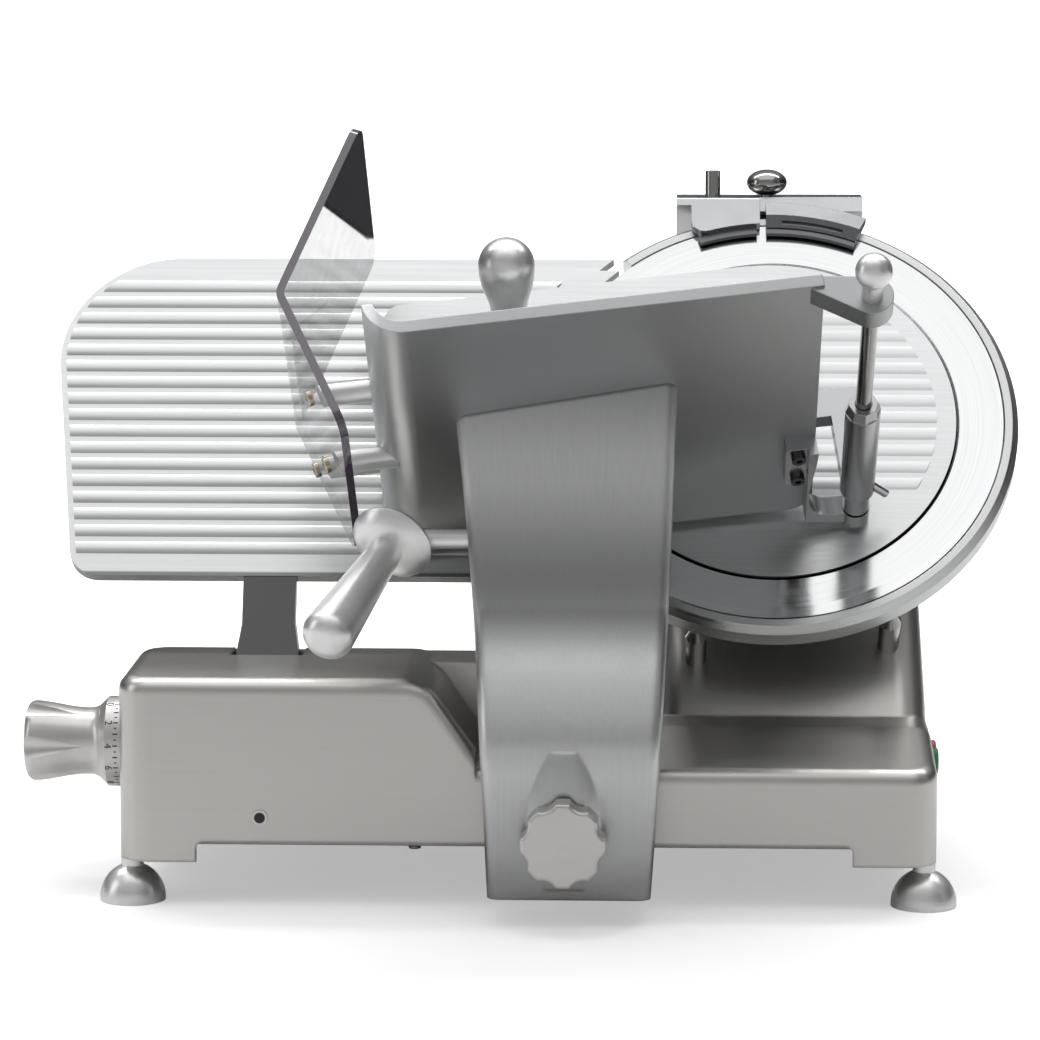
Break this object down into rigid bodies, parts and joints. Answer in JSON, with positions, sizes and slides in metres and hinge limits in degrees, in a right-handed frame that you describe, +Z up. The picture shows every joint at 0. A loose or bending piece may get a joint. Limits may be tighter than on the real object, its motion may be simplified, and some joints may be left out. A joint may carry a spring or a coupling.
{
  "type": "food slicer",
  "caption": "Gravity-feed food slicer with a leaning round blade, ribbed gauge plate, sliding carriage with product table, pusher, clear side guard, thickness dial and sharpener.",
  "frame": {"origin": "middle of the bounding box, on the counter under the feet", "axes": "+X to the right along the carriage travel, -Y towards the operator, +Z up"},
  "size_m": [0.6364, 0.4422, 0.4781],
  "materials": {
    "cast": "satin cast and brushed",
    "bead": "satin anodised",
    "guard": "satin turned",
    "blade_steel": "ground and polished",
    "bright": "polished satin",
    "chrome": "polished",
    "alloy": "machined",
    "bronze": "sintered bronze",
    "motor_paint": "semi-matt",
    "dark": "matt black",
    "belt": "matt",
    "stone": "gritty",
    "clear": "clear polycarbonate",
    "green": "gloss",
    "red": "gloss"
  },
  "bodies": {
    "base": {"base_housing": "cast", "bottom_cover": "alloy", "bottom_cover_screws": "chrome", "feet": "bright", "hole_plug": "dark", "cable_gland": "dark", "switch_panel": "dark", "bearing_housing": "alloy", "spindle_bearings": "chrome", "drive_belt": "belt", "motor_body": "motor_paint", "motor_bracket": "alloy", "ring_guard": "guard", "guard_posts": "chrome", "blade_cover": "bead", "cover_tie_rod": "chrome", "gauge_rod": "chrome", "dial_bush": "bronze", "carriage_rod": "chrome", "carriage_rod_brackets": "alloy", "guide_rail": "alloy", "sharpener_arm": "alloy", "sharpener_housing": "bright", "sharpener_cover": "bright", "sharpener_lips": "dark"},
    "blade_unit": {"blade": "blade_steel", "spindle": "chrome", "spindle_pulley": "alloy"},
    "motor_rotor": {"motor_pulley": "alloy"},
    "tie_knob": {"tie_rod_knob": "dark"},
    "gauge": {"gauge_plate": "bead", "gauge_slider": "alloy"},
    "dial": {"thickness_knob": "bright", "dial_ring": "bright", "dial_cam": "alloy"},
    "slider": {"carriage_slider": "alloy", "slider_bushes": "bronze"},
    "roller": {"slider_roller": "dark"},
    "carriage": {"carriage_arm": "bead", "arm_hinge_pin": "chrome", "product_table": "bead", "handle_stem": "bright", "handle_grip": "bright", "side_guard": "clear", "guard_spacers": "chrome", "carriage_bolts": "chrome", "rod_bracket": "bright", "pusher_rod": "chrome", "rod_nut": "chrome"},
    "lock": {"lock_knob": "bright"},
    "pusher_liner": {"pusher_bush": "bronze"},
    "pusher": {"pusher_sleeve": "bright", "pusher_plate": "bright", "pusher_handle": "bright"},
    "sharpen_pin": {"sharpener_button": "chrome"},
    "sharpen_ball": {"sharpener_knob": "chrome"},
    "stone_left": {"grinding_stone": "stone"},
    "stone_right": {"deburring_stone": "stone"},
    "start": {"start_button": "green"},
    "stop": {"stop_button": "red"}
  },
  "joints": [
    {"name": "blade_spin", "type": "hinge", "parent": "base", "child": "blade_unit", "pos_m": [0.1582, 0.06048, 0.2865], "axis": [0, -0.788, 0.6157], "continuous": true},
    {"name": "motor_spin", "type": "hinge", "parent": "base", "child": "motor_rotor", "pos_m": [0.1702, -0.01656, 0.18789], "axis": [0, -0.788, 0.6157], "continuous": true},
    {"name": "tie_knob_turn", "type": "hinge", "parent": "base", "child": "tie_knob", "pos_m": [0.1582, 0.17081, 0.20031], "axis": [0, -0.788, 0.6157], "continuous": true},
    {"name": "dial_turn", "type": "hinge", "parent": "base", "child": "dial", "pos_m": [-0.2508, -0.04752, 0.0886], "axis": [-1, 0, 0], "range_deg": [0, 330]},
    {"name": "gauge_slide", "type": "slide", "parent": "base", "child": "gauge", "axis": [0, 0.788, -0.6157], "range_m": [0, 0.014]},
    {"name": "carriage_slide", "type": "slide", "parent": "base", "child": "slider", "axis": [1, 0, 0], "range_m": [-0.18, 0.125]},
    {"name": "roller_turn", "type": "hinge", "parent": "slider", "child": "roller", "pos_m": [0.0282, -0.03152, 0.0585], "axis": [0, 1, 0], "continuous": true},
    {"name": "carriage_tilt", "type": "hinge", "parent": "slider", "child": "carriage", "pos_m": [0.0282, -0.16152, 0.0315], "axis": [1, 0, 0], "range_deg": [0, 30]},
    {"name": "lock_turn", "type": "hinge", "parent": "carriage", "child": "lock", "pos_m": [0.0282, -0.18452, 0.0575], "axis": [0, -1, 0], "range_deg": [0, 270]},
    {"name": "pusher_slide", "type": "slide", "parent": "carriage", "child": "pusher_liner", "axis": [0, -0.788, 0.6157], "range_m": [0, 0.1]},
    {"name": "pusher_swing", "type": "hinge", "parent": "pusher_liner", "child": "pusher", "pos_m": [0.21004, -0.05745, 0.28173], "axis": [0, 0.788, -0.6157], "range_deg": [0, 80]},
    {"name": "sharpen_press", "type": "slide", "parent": "base", "child": "sharpen_pin", "axis": [0, 0, -1], "range_m": [0, 0.005], "stiffness_N_per_m": 300, "springref_m": -0.002},
    {"name": "sharpen_knob_turn", "type": "hinge", "parent": "base", "child": "sharpen_ball", "pos_m": [0.1552, 0.17686, 0.4235], "axis": [0, 0, 1], "continuous": true},
    {"name": "grinding_spin", "type": "hinge", "parent": "base", "child": "stone_left", "pos_m": [0.1187, 0.18755, 0.40042], "axis": [0, -0.788, 0.6157], "continuous": true},
    {"name": "deburring_spin", "type": "hinge", "parent": "base", "child": "stone_right", "pos_m": [0.1912, 0.18755, 0.40042], "axis": [0, -0.788, 0.6157], "continuous": true},
    {"name": "start_press", "type": "slide", "parent": "base", "child": "start", "axis": [-1, 0, 0], "range_m": [0, 0.003], "stiffness_N_per_m": 400, "springref_m": -0.001},
    {"name": "stop_press", "type": "slide", "parent": "base", "child": "stop", "axis": [-1, 0, 0], "range_m": [0, 0.003], "stiffness_N_per_m": 400, "springref_m": -0.001}
  ],
  "couplings": [
    {"joint": "motor_spin", "follows": "blade_spin", "ratio": 4.3077},
    {"joint": "gauge_slide", "follows": "dial_turn", "m_per_rad": 0.0024307},
    {"joint": "roller_turn", "follows": "carriage_slide", "rad_per_m": 100}
  ]
}
